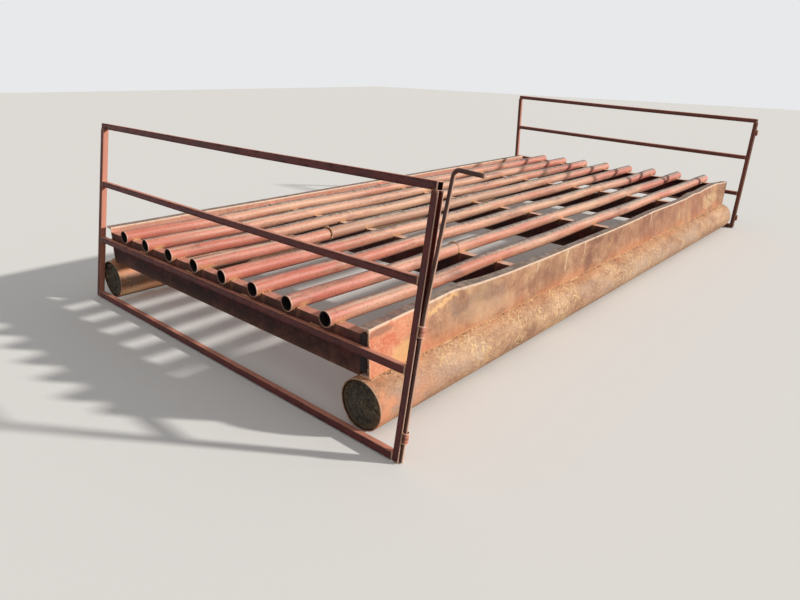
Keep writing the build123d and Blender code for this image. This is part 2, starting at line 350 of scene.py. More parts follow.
def loft(name, rings, looped):
    """A closed skin through rings of (point, wear): round again to the first ring, or capped."""
    size = len(rings[0])
    verts = [point for ring in rings for point, _ in ring]
    wears = [worn for ring in rings for _, worn in ring]
    faces = []
    for i in range(len(rings) if looped else len(rings) - 1):
        a = i * size
        b = (i + 1) % len(rings) * size
        for k in range(size):
            m = (k + 1) % size
            faces.append((a + k, a + m, b + m, b + k))
    if not looped:
        faces.append(tuple(reversed(range(size))))
        faces.append(tuple(range(len(verts) - size, len(verts))))
    mesh = bpy.data.meshes.new(name)
    mesh.from_pydata(verts, [], faces)
    mesh.attributes.new("wear", "FLOAT", "POINT").data.foreach_set("value", wears)
    shell = bmesh.new()
    shell.from_mesh(mesh)
    bmesh.ops.recalc_face_normals(shell, faces=shell.faces)
    shell.to_mesh(mesh)
    shell.free()
    mesh.polygons.foreach_set("use_smooth", [True] * len(mesh.polygons))
    mesh.set_sharp_from_angle(angle=math.radians(35))
    piece = bpy.data.objects.new(name, mesh)
    scene.collection.objects.link(piece)
    return piece


def hollow_length(name, outer, inner, start, end, gap, place, rim_share=0.12):
    """A tube: outer and inner outlines of (u, v, wear), carried from start to end by place(u, v, s)."""
    stations = spaced(start, end, gap)
    rim = [tuple(o + (i - o) * rim_share for o, i in zip(p, q)) for p, q in zip(outer, inner)]
    rings = [[(place(u, v, start), 1.0) for u, v, _ in rim]]
    for s in stations:
        tip = end_wear(s, start, end)
        rings.append([(place(u, v, s), max(worn, tip)) for u, v, worn in outer])
    rings.append([(place(u, v, end), 1.0) for u, v, _ in rim])
    for s in [end] + stations[::-1] + [start]:
        rings.append([(place(u, v, s), -1.0) for u, v, _ in inner])
    return loft(name, rings, True)


def circle(radius, sides):
    turn = 2 * math.pi / sides
    return [(radius * math.cos(i * turn), radius * math.sin(i * turn), 0.0) for i in range(sides)]


def pipe_length(name, radius, wall, sides, *course):
    return hollow_length(name, circle(radius, sides), circle(radius - wall, sides), *course)


def at_tips(s, start, end, fading=0.02):
    """1 at the start of a length and -1 at its end, 0 between, for cuts that aren't square."""
    return max(0.0, 1 - (s - start) / fading) - max(0.0, 1 - (end - s) / fading)


def dress(piece, material, body, slot, *nodes):
    """Gives a piece its finish and its body, and hides the solids that it stands for."""
    piece.data.materials.append(material)
    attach(piece, body)
    if nodes:
        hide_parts(*nodes)


for side, seed in (("right", 3.1), ("left", 8.4)):
    low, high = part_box("skid_pipe_" + side)
    skid_radius, skid_y, _ = pipe_place(low, high)

    def on_skid(u, v, s):
        """Old knocks flatten the pipe by a few millimetres, but not where it lies on the ground."""
        spot = (s, u, v)
        knock = max(0.0, wavering(spot, 2.6, seed) - 0.12) * skid_knock
        knock += skid_ripple * (wavering(spot, 9.0, seed + 5) + 1) / 2
        flank = 1.0 if v > -0.1 else 0.0
        shrink = 1 - knock * flank / skid_radius
        cut = skid_cut * (1 + wavering((0, u, v), 12.0, seed)) / 2
        return Vector((s + cut * at_tips(s, low.x, high.x), skid_y + u * shrink, skid_radius + v * shrink))

    name = "skid_" + side + "_tube"
    skid = pipe_length(name, skid_radius, skid_wall, skid_sides, low.x, high.x, skid_gap, on_skid)
    dress(skid, skid_rust, "grid", "skid_rust", "skid_pipe_" + side)

# Soil in the skid mouths: earth, dry grass and grit that dragging has rammed into the open ends.
# It is dark grey and crumbly, a little below the rim, with pale straw caught round its edge.
soil_rings = 14
soil_sides = 48
soil_clear = 0.0012
soil_lump = 0.011
soil_most = 0.012
soil_slump = 0.03
soil_nodes = ["soil_plug_" + mouth for mouth in ("right_a", "right_b", "left_a", "left_b")]
straw_stalks = 190
straw_reach = 0.006

soil_dark, shader, where, wear = start_material("soil")
clods = cloud(where, 38.0, 6.0, 0.7)
grit = cloud(where, 190.0, 3.0)
soil_colour = lay_on(
    mix(clods.step(0.4, 0.62), (54, 48, 42), (108, 98, 84)),
    (grit.step(0.6, 0.7), 1.0, (140, 128, 106)),
    (wear.step(0.0, 1.0), 0.55, (140, 116, 84)),
)
end_material(shader, soil_colour, 0.96, clods + grit * 0.4, 0.8)

for node in soil_nodes:
    low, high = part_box(node)
    bore, plug_y, plug_z = pipe_place(low, high)
    plug_radius = bore - soil_clear
    out = -1 if node.endswith("_a") else 1
    mouth, back = (low.x, high.x) if out < 0 else (high.x, low.x)

    def soil_ring(share, at_mouth):
        ring = []
        for k in range(soil_sides):
            turn = 2 * math.pi * k / soil_sides
            y = plug_y + plug_radius * share * math.cos(turn)
            z = plug_z + plug_radius * share * math.sin(turn)
            lump = 0.5 + 0.5 * noise.fractal(Vector((mouth * 3, y * 26, z * 26)), 1.0, 2.0, 4)
            slump = soil_slump * max(0.0, (z - plug_z) / plug_radius) ** 2
            x = mouth + out * (min(soil_most, soil_lump * lump) - slump) if at_mouth else back
            ring.append((Vector((x, y, z)), max(0.0, share * 4 - 3)))
        return ring

    shares = [0.04 + 0.96 * (i / soil_rings) ** 0.9 for i in range(soil_rings + 1)]
    rings = [soil_ring(share, True) for share in shares] + [soil_ring(1.0, False), soil_ring(0.04, False)]
    plug = loft(node.replace("plug", "face"), rings, False)
    dress(plug, soil_dark, "grid", "soil", node)


def run_nodes(name, tree, mesh, values):
    """Puts a mesh through a node tree with the given inputs, and keeps the result as a plain mesh."""
    source = bpy.data.objects.new(name, mesh)
    scene.collection.objects.link(source)
    modifier = source.modifiers.new(name, "NODES")
    modifier.node_group = tree
    for item in tree.interface.items_tree:
        if item.item_type == "SOCKET" and item.in_out == "INPUT" and item.name in values:
            modifier[item.identifier] = values[item.name]
    bpy.context.view_layer.update()
    ready = source.evaluated_get(bpy.context.evaluated_depsgraph_get())
    result = bpy.data.meshes.new_from_object(ready)
    result.name = name
    source.modifiers.clear()
    source.data = result
    return source


straw_bed, entry, leave = start_group(
    "straw_bed",
    "GeometryNodeTree",
    {"Geometry": "Geometry", "Length": 0.03, "Thickness": 0.0008, "Seed": 1, "Finish": "Material"},
    {"Geometry": "Geometry"},
)
sockets = {"Vertices": 4, "Radius Top": entry["Thickness"] * 0.4, "Radius Bottom": entry["Thickness"]}
stalk = put(straw_bed, "GeometryNodeMeshCone", {**sockets, "Depth": entry["Length"]})
sockets = {0: (-1.9, -0.5, 0.0), 1: (1.9, 0.5, 6.28), "Seed": entry["Seed"]}
turns = put(straw_bed, "FunctionNodeRandomValue", sockets, data_type="FLOAT_VECTOR")
sockets = {2: 0.35, 3: 1.25, "Seed": entry["Seed"]}
sizes = put(straw_bed, "FunctionNodeRandomValue", sockets, 1, data_type="FLOAT")
sockets = {"Points": entry["Geometry"], "Instance": stalk, "Rotation": turns, "Scale": sizes}
strewn = put(straw_bed, "GeometryNodeInstanceOnPoints", sockets)
real = put(straw_bed, "GeometryNodeRealizeInstances", {"Geometry": strewn})
sockets = {"Geometry": real, "Material": entry["Finish"]}
feed(leave["Geometry"], put(straw_bed, "GeometryNodeSetMaterial", sockets))

straw_dry, shader, where, wear = start_material("straw_dry")
straw_colour = mix(cloud(where, 60.0, 4.0).step(0.4, 0.6), (150, 128, 90), (216, 196, 152))
end_material(shader, straw_colour, 0.85, cloud(where, 400.0, 3.0), 0.2)

# these draws lay the straw, and after it they make the welds uneven
hand_random = random.Random(5)
straw_spots = []
for node in soil_nodes:
    low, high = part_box(node)
    middle = (low + high) / 2
    out = -1 if node.endswith("_a") else 1
    mouth = low.x if out < 0 else high.x
    hand = out if node.startswith("soil_plug_right") else -out
    for _ in range(straw_stalks):
        low_down = hand_random.random() < 0.6
        turn = hand_random.gauss(0.0, 0.75) if low_down else hand_random.uniform(-3.14, 3.14)
        by_rim = hand_random.random() < 0.6
        share = 1 - abs(hand_random.gauss(0.0, 0.16)) if by_rim else hand_random.uniform(0.0, 0.9)
        share = min(0.93, max(0.0, share)) * (high.z - low.z) / 2
        y = middle.y + hand * share * math.cos(turn)
        z = middle.z + share * math.sin(turn)
        slump = soil_slump * max(0.0, (z - middle.z) / (high.z - low.z) * 2) ** 2
        straw_spots.append(Vector((mouth + out * (straw_reach - slump), y, z)))
straw_points = bpy.data.meshes.new("straw_points")
straw_points.from_pydata(straw_spots, [], [])
values = {"Length": 0.03, "Thickness": 0.0009, "Seed": 4, "Finish": straw_dry}
straw = run_nodes("soil_straw", straw_bed, straw_points, values)
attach(straw, "grid")

# Side beams: rolled 10 inch channel, standing on the skids and welded to them all along. The right
# one has its web outwards, rusted orange under old red paint, and its top has been knocked in and
# buckled between the cross beams. The left one has its web towards the rails.
beam_depth = 0.254
beam_web = 0.007
beam_flange = 0.066
beam_tip = 0.008
beam_root = 0.014
right_gap, right_ripple = 0.028, 0.0012
left_gap, left_ripple = 0.06, 0.004


def blot(where, at_x, at_z, wide, high, ragged=0.6, size=7.0):
    """A soft-edged patch round a spot on an upright face."""
    x, _, z = parts(where)
    across = (x - at_x) / wide
    up = (z - at_z) / high
    far = (across * across + up * up).calc("SQRT")
    uneven = cloud(join(x, 0.0, z), size, 6.0, 0.65) - 0.5
    return (far + uneven * (ragged * 4)).step(1.25, 0.55)


beam_rust, shader, where, wear = start_material("beam_rust")
x, y, z = parts(where)
left_side = y.calc("GREATER_THAN", 0.0)
right_side = 1.0 - left_side
tones = rust(where, 2.7, (136, 94, 74), (178, 132, 102), (212, 168, 128))
redder = cloud(stretch(where, x=0.7, z=0.4), 1.9, 5.0, 0.58).step(0.45, 0.6)
fine_runs = use(streak_marks, stretch(where, z=0.12), Scale=70.0, Low=0.5, High=0.66)["Mask"]
dark_runs = use(streak_marks, stretch(where, x=1.3, y=1.3, z=0.1), Scale=38.0, Low=0.54, High=0.7)["Mask"]
yellowed = cloud(stretch(where, z=0.6), 4.6, 6.0, 0.64).step(0.56, 0.68)
low_part = z.step(0.38, 0.29) * cloud(where, 3.2).step(0.38, 0.6)
beam_colour = lay_on(
    tones["Color"],
    (redder, 0.5, (166, 104, 80)),
    (fine_runs, 0.28, (218, 180, 144)),
    (dark_runs, 0.3, (118, 78, 60)),
    (yellowed, 0.5, (218, 172, 116)),
    (low_part, 0.6, (206, 132, 88)),
)

# red paint left at the near end and all along the left beam, with redder spots
near_end = (x + cloud(where, 6.0) * 0.3).step(-2.18, -2.46).calc("MAXIMUM", left_side)
painted = near_end * cloud(where, 3.8, 6.0, 0.62).step(0.28, 0.5)
spots = painted * cloud(where, 11.0, 6.0, 0.66).step(0.48, 0.62)
mottle = cloud(where, 72.0, 4.0, 0.72)
by_post = blot(where, -2.6, 0.33, 0.11, 0.07)
paint_flakes = use(worn_places, where, Scale=5.0, Amount=0.34, Softness=0.05)["Mask"]
beam_colour = lay_on(
    beam_colour,
    (painted, 0.85, mix(left_side, (234, 152, 116), (206, 146, 126))),
    (spots, 0.7, mix(left_side, (216, 112, 78), (196, 120, 100))),
    (near_end * mottle.step(0.47, 0.36), 0.55, (190, 116, 88)),
    (near_end * mottle.step(0.54, 0.64), 0.55, (246, 196, 158)),
    (by_post * right_side, 0.7, (236, 184, 124)),
    (paint_flakes, 0.5, (198, 112, 88)),
)

# marks that show where they are: a dull patch, a knock's bright ridge, drips, scrapes and a smear
dull = blot(where, -1.92, 0.42, 0.24, 0.085, 0.9, 9.0)
sunbleached = blot(where, -1.86, 0.35, 0.34, 0.07, 0.5, 6.0)
browner = blot(where, -1.1, 0.39, 0.3, 0.1, 0.6, 6.0)
ridge_line = (x + 2.14) * 0.16 + 0.505 + (cloud(where, 30.0, 6.0, 0.7) - 0.5) * 0.10
on_ridge = x.step(-2.46, -2.36) * x.step(-2.09, -2.14)
ridge = abs(z - ridge_line).step(0.019, 0.003) * on_ridge
beam_colour = lay_on(
    beam_colour,
    (dull * right_side, 0.5, (160, 134, 114)),
    (sunbleached * right_side, 0.45, (222, 178, 140)),
    (browner * right_side, 0.4, (150, 106, 80)),
    (ridge * right_side, 0.8, (240, 190, 132)),
)
drip_wobble = (cloud(where, 14.0, 2.0) - 0.5) * 0.05
for drip_x, drip_end in ((-0.93, 0.34), (-0.66, 0.40), (-1.32, 0.43), (0.62, 0.42)):
    drip = abs(x - drip_x + drip_wobble).step(0.016, 0.004)
    drip = drip * z.step(drip_end, drip_end + 0.05) * right_side
    beam_colour = lay_on(beam_colour, (drip, 0.6, (236, 206, 168)))
flat_way = join(x, z, 0.0)
scrapes = use(crossed_scrapes, flat_way, Scale=88.0, Low=0.53, Spread=0.3)["Mask"]
far_scrapes = scrapes * blot(where, 2.3, 0.39, 0.26, 0.075)
smear = blot(where, -2.765, 0.493, 0.10, 0.022, 0.5, 16.0)
seam_rust = z.step(0.291, 0.278) * cloud(where, 18.0).step(0.3, 0.5)

# grey dust on the flanges, with painted sky reflection in the same grey, and bright metal along the corners
top_dust_and_sheen = use(facing_up_patches, where, Scale=9.0, Start=0.5, Full=0.9, Patchiness=0.25)["Mask"]
dust_and_sheen_tone = mix(cloud(where, 24.0).step(0.38, 0.62), (106, 95, 91), (152, 138, 128))
bright = wear.step(0.35, 0.95) * (cloud(where, 26.0).step(0.3, 0.48) * 0.65 + 0.35)
beam_colour = lay_on(
    beam_colour,
    (far_scrapes * right_side, 0.75, (238, 208, 156)),
    (smear * right_side, 0.7, (142, 104, 84)),
    (seam_rust, 0.6, (220, 162, 112)),
    (top_dust_and_sheen, 0.92, dust_and_sheen_tone),
    (bright, 1.0, (234, 204, 178)),
)
end_material(shader, beam_colour, tones["Roughness"], tones["Height"], 0.3)


def rounded_corner(before, here, after, radius, steps):
    """Points round an arc that takes the place of a sharp corner between two straight sides."""
    back_way = (before - here).normalized()
    on_way = (after - here).normalized()
    half = back_way.angle(on_way) / 2
    centre = here + (back_way + on_way).normalized() * radius / math.sin(half)
    start = here + back_way * radius / math.tan(half) - centre
    end = here + on_way * radius / math.tan(half) - centre
    first = math.atan2(start.y, start.x)
    sweep = (math.atan2(end.y, end.x) - first + math.pi) % (2 * math.pi) - math.pi
    steps = steps or max(2, round(abs(sweep) / 0.14))
    turns = [first + sweep * k / steps for k in range(steps + 1)]
    return [(centre.x + radius * math.cos(turn), centre.y + radius * math.sin(turn)) for turn in turns]


def rounded(corners, steps=4, longest=0.03):
    """A closed outline from (u, v, radius, wear) corners, with arcs at them and no long edges."""
    corner_points = []
    for i, (u, v, radius, worn) in enumerate(corners):
        points = [(u, v)]
        if radius > 0:
            before, after = Vector(corners[i - 1][:2]), Vector(corners[(i + 1) % len(corners)][:2])
            points = rounded_corner(before, Vector((u, v)), after, radius, steps)
        corner_points += [(*point, worn) for point in points]
    outline = []
    for i, (u, v, worn) in enumerate(corner_points):
        outline.append((u, v, worn))
        next_u, next_v, _ = corner_points[(i + 1) % len(corner_points)]
        parts_here = int(math.hypot(next_u - u, next_v - v) / longest)
        for k in range(1, parts_here + 1):
            share = k / (parts_here + 1)
            outline.append((u + (next_u - u) * share, v + (next_v - v) * share, 0.0))
    return outline


def along(points, place, rounding=0.02):
    """A line through (place, amount) pairs, straight between them and a little rounded at them."""
    if rounding > 0:
        return sum(along(points, place + rounding * shift, 0) for shift in (-1, -0.4, 0.4, 1)) / 4
    if place <= points[0][0]:
        return points[0][1]
    for (a, first), (b, second) in zip(points, points[1:]):
        if place <= b:
            return first + (second - first) * (place - a) / (b - a)
    return points[-1][1]


def bell(distance, width):
    return math.exp(-((distance / width) ** 2))


beam_corners = [
    (0.0, 0.0, 0.002, 0.4),
    (beam_flange, 0.0, 0.001, 0.4),
    (beam_flange, beam_tip, 0.006, 0.3),
    (beam_web, beam_root, 0.012, 0.0),
    (beam_web, beam_depth - beam_root, 0.012, 0.0),
    (beam_flange, beam_depth - beam_tip, 0.006, 0.3),
    (beam_flange, beam_depth, 0.001, 0.5),
    (0.020, beam_depth, 0.0, 0.0),
    (0.011, beam_depth, 0.0, 0.0),
    (0.006, beam_depth, 0.0, 0.5),
    (0.0, beam_depth, 0.003, 1.0),
]
beam_outline = rounded(beam_corners, 4, 0.022)

# how far the right beam's top stands in from the straight line, by the distance from its near end
pushed_in = [
    (0.0, 0.006), (0.07, 0.012), (0.70, 0.051), (0.76, 0.050), (0.90, 0.022), (1.19, 0.002),
    (1.61, -0.005), (2.71, -0.007), (3.15, 0.0), (3.53, 0.014), (3.88, 0.004), (4.30, 0.004),
    (4.62, 0.028), (4.74, 0.014), (5.03, 0.036), (5.40, 0.048), (5.56, 0.004), (5.625, -0.004),
]
# dents in the web: distance from the near end, height, width, depth
web_dents = [
    (0.69, 0.44, 0.09, 0.010), (0.79, 0.48, 0.05, -0.008), (1.46, 0.40, 0.30, 0.006),
    (2.26, 0.36, 0.20, 0.005), (3.56, 0.42, 0.16, 0.008), (4.56, 0.37, 0.14, 0.006),
    (5.36, 0.36, 0.09, 0.010),
]
flange_droop = 0.005
knock_at, knock_width, knock_rise = 0.84, 0.11, 0.010
fold_start, fold_end, fold_drop = 1.62, 4.45, 0.007
right_low, right_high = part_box("side_beam_right")
left_low, left_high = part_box("side_beam_left")


def on_right_beam(u, v, s):
    run = s - right_low.x
    height = v / beam_depth
    reach = u / beam_flange
    lean_in = along(pushed_in, run) * max(height, 0.0) ** 1.35
    dent = 0
    for at, level, width, depth in web_dents:
        dent += depth * bell(run - at, width) * bell(v + right_low.z - level, 0.07)
    ripple = right_ripple * wavering((s, 0, v), 3.0, 1.7) * min(1.0, v / 0.05)
    rise = -flange_droop * reach * height * (0.5 + wavering((s, 0, 0), 1.6, 4.2))
    rise += knock_rise * bell(run - knock_at, knock_width) * reach * height
    folded = min(1.0, max(0.0, (run - fold_start) / 0.12), max(0.0, (fold_end - run) / 0.12))
    rise -= folded * fold_drop * min(1.0, max(0.0, (u - 0.006) / 0.005)) * max(0.0, height - 0.9) * 10
    return Vector((s, right_low.y + u + lean_in + dent + ripple, right_low.z + v + rise))


def on_left_beam(u, v, s):
    ripple = left_ripple * wavering((s, 0, v), 2.2, 6.1) * v / beam_depth
    return Vector((s, left_low.y + u + ripple, left_low.z + v))


def solid_length(name, outline, start, end, gap, place_at):
    rings = []
    for s in [start] + spaced(start, end, gap) + [end]:
        tip = end_wear(s, start, end)
        rings.append([(place_at(u, v, s), max(worn, 0.7 * tip)) for u, v, worn in outline])
    return loft(name, rings, False)


right_course = (right_low.x, right_high.x, right_gap, on_right_beam)
right_beam = solid_length("beam_right_channel", beam_outline, *right_course)
dress(right_beam, beam_rust, "grid", "beam_rust", "side_beam_right")
left_beam = solid_length("beam_left_channel", beam_outline, left_low.x, left_high.x, left_gap, on_left_beam)
dress(left_beam, beam_rust, "grid", "beam_rust", "side_beam_left")

# Cross beams: shallower channel between the side beams, its top notched by torch for each rail.
# Faded red oxide on the tabs between the rails, their tops painted pale as painted light from above;
# brown and dark lower down, darkened further as painted shade, with a near-black strip of painted
# shade under the side beam's flange. Coped round the flange.
cross_web = 0.007
cross_tip = 0.008
cross_width = 0.056
cross_middle = 0.38
cope_length = 0.062
cope_height = 0.028
notch_reach = 0.0452
burr_start, burr_end = 0.040, 0.0475
seat_radius = 0.0456
tab_ripple, seat_ripple = 0.0008, 0.0004
seat_steps = (0.0455, 0.0435, 0.0405, 0.034, 0.026, 0.017, 0.008)

cross_red, shader, where, wear = start_material("cross_red")
x, y, z = parts(where)
# dark rust and dark red paint, made darker still as painted shade for the webs below the rails
tones = rust(where, 4.0, (36, 21, 20), (57, 30, 28), (92, 52, 42))
gone_lower = z.step(0.46, 0.3) * 0.22 + 0.34
paint_gone = use(worn_places, where, Scale=9.0, Edge=wear, Amount=gone_lower)["Mask"]
red_tone = mix(cloud(where, 12.0).step(0.36, 0.64), (62, 28, 28), (92, 42, 38))
# the tab tops painted much paler: painted light on the faces that look up
lit_tab_tops = use(facing_up_patches, where, Scale=16.0, Start=0.6, Full=0.95, Patchiness=0.12)["Mask"]
tab_light_tone = mix(cloud(where, 20.0).step(0.38, 0.62), (240, 184, 156), (253, 216, 190))
tab_light_tone = lay_on(tab_light_tone, (x.step(-2.72, -2.78), 0.8, (216, 132, 112)))
flange_edge = right_low.y + beam_flange
cross_colour = lay_on(
    mix(paint_gone, red_tone, tones["Color"]),
    (lit_tab_tops, 0.95, tab_light_tone),
    (wear.step(0.2, 1.0), 0.5, (206, 150, 122)),
    # painted shade: a near-black strip on the web's end inside the side beam's channel, under its flange
    (y.step(flange_edge + 0.003, flange_edge - 0.004), 0.9, (24, 17, 17)),
)
end_material(shader, cross_colour, tones["Roughness"], tones["Height"], 0.3)

rail_boxes = [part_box("rail_pipe_%d" % number) for number in range(1, 9)]
rail_line = [(low + high) / 2 for low, high in rail_boxes]
cross_boxes = [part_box("cross_beam_%d" % number) for number in range(1, 6)]

for number, (low, high) in enumerate(cross_boxes, 1):
    facing = -1 if number == 5 else 1
    web_x = high.x if facing < 0 else low.x
    start_y = low.y + 0.006 if number == 1 else low.y
    stations = {start_y, low.y + cope_length - 0.002, low.y + cope_length, high.y - 0.03, high.y}
    for middle in rail_line:
        stations.update(middle.y + hand * reach for reach in seat_steps for hand in (-1, 1))
        stations.update((middle.y, middle.y - 0.09, middle.y + 0.09))
    rings = []
    for y in sorted(stations):
        nearest = min(abs(y - middle.y) for middle in rail_line)
        top = high.z - tab_ripple * (1 + wavering((number, y, 0), 9.0, 2.2))
        if nearest < notch_reach:
            ragged = seat_ripple * (1 + wavering((number, y, 0), 60.0, 5.0))
            arc = rail_line[0].z - math.sqrt(seat_radius ** 2 - nearest ** 2) - ragged
            top = min(top - 0.0015, arc)
        worn = 0.9 if burr_start < nearest < burr_end else 0.15
        coped = y < low.y + cope_length - 0.001
        foot = low.z + cope_height if coped else low.z
        flange_under = high.z - cross_tip
        notched = top < flange_under + 0.001
        edge = max(worn, 0.5)
        upper = [
            (cross_web, top - 0.006 if notched else high.z - 0.012, 0.0),
            (cross_web, top - 0.003, 0.0) if notched else (cross_width, flange_under, worn),
            (cross_web, top, 0.4) if notched else (cross_width, top, edge),
            (0.0, top, 0.6 if notched else edge),
        ]
        lower = [
            (0.0, foot, 0.4 if coped else 0.5),
            (cross_web, foot, 0.3) if coped else (cross_width, foot, 0.5),
            (cross_web, foot + 0.003, 0.0) if coped else (cross_width, foot + cross_tip, 0.5),
            (cross_web, foot + (0.006 if coped else 0.012), 0.0),
        ]
        ring = lower + [(cross_web, cross_middle, 0.0)] + upper + [(0.0, cross_middle, 0.0)]
        rings.append([(Vector((web_x + facing * x, y, z)), worn_here) for x, z, worn_here in ring])
    beam = loft("cross_%d_channel" % number, rings, False)
    dress(beam, cross_red, "grid", "beam_rust", "cross_beam_%d" % number)

# Rail pipes: eight lengths of used 3-1/2 inch pipe laid in the notches and welded there, cut off by
# torch. Faded salmon red paint on their sides, worn to grey and brown steel along the top; the grey
# reaches round to the side away from the lamp as painted shade, with a painted highlight beside it,
# and the undersides and the bores are darkened as painted shade.
rail_wall = 0.0065
rail_sides = 36
rail_gap = 0.055
rail_dents = 7
dent_spans = ((-2.7, 2.7), (0.6, 2.6), (0.02, 0.05), (0.0015, 0.004))
rail_sag, rail_sway, rail_bow, rail_slant = (0.002, 0.011), (-0.006, 0.006), (-0.004, 0.004), (-0.05, 0.05)
rail_bows = {6: 0.003, 7: -0.006, 8: 0.0}

rail_paint, shader, where, wear = start_material("rail_paint")
long_way = stretch(where, x=0.16)
x, y, z = parts(where)
facing = facing_way(where.tree)
tones = rust(stretch(where, x=0.35), 6.0, (140, 92, 74), (184, 132, 106), (214, 170, 138))

# red paint, deeper towards the ends, worn in long patches, and a barer length spliced into rail 4
spliced = abs(y - rail_line[3].y).step(0.06, 0.05)
spliced = spliced * x.step(-1.805, -1.795) * x.step(0.9, 0.2)
roadside = y.step(-0.72, -0.8)
rail_ends = (x.step(-1.4, -2.5) + x.step(1.3, 2.3)) * (1.0 - roadside * 0.75)
fade = (cloud(long_way, 8.0, 6.0, 0.62) - rail_ends * 0.07).step(0.34, 0.56)
each_rail = cloud(stretch(where, x=0.16, y=3.1, z=0.1), 1.0, 2.0).step(0.38, 0.62)
deep_red = mix(each_rail, (206, 120, 96), (204, 132, 104))
pale_red = mix(each_rail, (222, 162, 134), (218, 172, 140))
end_red = mix(fade, (198, 108, 90), (216, 142, 120))
rubbed = use(worn_places, long_way, Scale=12.0, Amount=0.44, Softness=0.07)["Mask"]
specks = cloud(where, 85.0, 4.0, 0.7).step(0.46, 0.36)

# grey steel along the top, where hooves and tyres have rubbed it; the band reaches round to the side
# away from the lamp and darkens there, which is painted shade, and a cream stripe beside it is a painted
# highlight
away = facing[2] * 0.95 + facing[1] * 0.3
ragged = (cloud(long_way, 17.0, 6.0, 0.68) - 0.5) * 1.1
tread_and_shade = (away + ragged - x.step(-0.9, -2.8) * 0.34).step(0.42, 0.74)
tread_marks = cloud(stretch(where, y=0.5, z=0.5), 34.0, 5.0, 0.62)
tread_and_shade_tone = lay_on(
    mix(tread_marks.step(0.38, 0.6), (104, 92, 86), (166, 152, 140)),
    (cloud(long_way, 5.0, 4.0).step(0.5, 0.62), 0.6, (150, 108, 92)),
    (away.step(0.84, 1.0), 0.75, (70, 60, 56)),
)
painted_highlight_streak = away.step(0.5, 0.64) * away.step(0.86, 0.72) * cloud(long_way, 10.0).step(0.4, 0.58)
grime = use(streak_marks, stretch(where, y=0.3, z=0.3), Scale=52.0, Low=0.56, High=0.7)["Mask"]
grime = grime * away.step(0.0, 0.5)

# rust by the seats on the cross beams
seat_rust = 0.0
for low, high in cross_boxes:
    seat_rust = abs(x - (low.x + high.x) / 2).step(0.075, 0.03).calc("MAXIMUM", seat_rust)
seat_rust = seat_rust * cloud(where, 20.0, 5.0, 0.64).step(0.42, 0.58) * z.step(0.53, 0.49)
rail_colour = lay_on(
    mix(fade, deep_red, pale_red),
    (rail_ends, 0.75, end_red),
    (rubbed, 0.8, tones["Color"]),
    (specks, 0.55, (132, 78, 66)),
    (spliced, 0.6, mix(rubbed, (172, 132, 108), (202, 168, 142))),
    (tread_and_shade, 0.88, tread_and_shade_tone),
    (painted_highlight_streak, 0.6, (206, 190, 168)),
    (grime, 0.45, (96, 62, 54)),
    # painted shade: the undersides darker
    (facing[2].step(-0.35, -0.85), 0.6, (92, 58, 48)),
    (seat_rust, 0.7, (226, 178, 122)),
    (wear.step(0.45, 1.0), 0.7, (236, 204, 182)),
    # painted shade: near black inside the pipes
    (shaded_inner_skin(wear), 1.0, (30, 22, 20)),
)
rail_rough = cloud(long_way, 22.0) * 0.16 + 0.46 + tread_and_shade * 0.06
end_material(shader, rail_colour, rail_rough, tones["Height"] - rubbed * 0.2, 0.3)

rail_random = random.Random(27)
cross_places = [sum(corner.x for corner in box) / 2 for box in cross_boxes]

for number, (low, high) in enumerate(rail_boxes, 1):
    rail_radius, rail_y, rail_z = pipe_place(low, high)
    sags = [rail_random.uniform(*rail_sag) for _ in range(4)]
    sways = [rail_random.uniform(*rail_sway) for _ in range(4)]
    dents = [[rail_random.uniform(*span) for span in dent_spans] for _ in range(rail_dents)]
    bow = rail_bows.get(number, rail_random.uniform(*rail_bow))
    tilt_cut = rail_random.uniform(*rail_slant)

    def on_rail(u, v, s):
        """Sags a little between the cross beams, bows along its length, and is dented from above."""
        sag = sway = 0.0
        for i, (before, after) in enumerate(zip(cross_places, cross_places[1:])):
            if before < s < after:
                belly = math.sin(math.pi * (s - before) / (after - before)) ** 2
                sag = -sags[i] * belly
                sway = sways[i] * belly
        long_bow = bow * math.sin(math.pi * (s - low.x) / (high.x - low.x))
        turn = math.atan2(v, u)
        pressed = sum(depth * bell(s - at, wide) * bell(turn - way, 0.45) for at, way, wide, depth in dents)
        shrink = 1 - pressed / rail_radius - 0.006 * (1 + wavering((s, u, v), 7.0, number))
        cut = 0.003 + tilt_cut * u + 0.0015 * wavering((0, u, v), 40.0, number)
        x = s + cut * at_tips(s, low.x, high.x)
        return Vector((x, rail_y + u * shrink + sway + long_bow, rail_z + v * shrink + sag))

    name = "rail_%d_pipe" % number
    rail = pipe_length(name, rail_radius, rail_wall, rail_sides, low.x, high.x, rail_gap, on_rail, 0.15)
    dress(rail, rail_paint, "grid", "rail_paint", "rail_pipe_%d" % number)

# Guard frames: one at each end, leaning in over the grid. The near one leans 10 degrees, against the
# beam ends; the far one leans 5, a little tipped to its right, against the ends of the left rails.
# Small channel posts, open outwards, and square tube rails, saw cut and welded, in dark red paint.
guard_section = 0.038
guard_wall = 0.0032
guard_leans = {"a": math.radians(10), "b": math.radians(5.1)}
guard_tips = {"a": 0.0, "b": math.radians(1.94)}
guard_levels = {"a": (0.0, 0.409, 0.809, 1.209), "b": (0.0, 0.374, 0.773, 1.162)}
guard_start = {"a": Vector((-2.961256, 0.06857, 0.0066)), "b": Vector((2.961256, 0.17857, 0.0526))}
foot_low, foot_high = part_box("guard_a_rail_foot")
guard_half = {"a": (foot_high.y - foot_low.y) / 2 + guard_section, "b": 1.454}
top_setback = 0.009
post_bend, post_gap = 0.0015, 0.08
rail_bends = {"foot": 0.0, "low": 0.0, "mid": -0.003, "top": -0.004}
tube_gap = 0.12

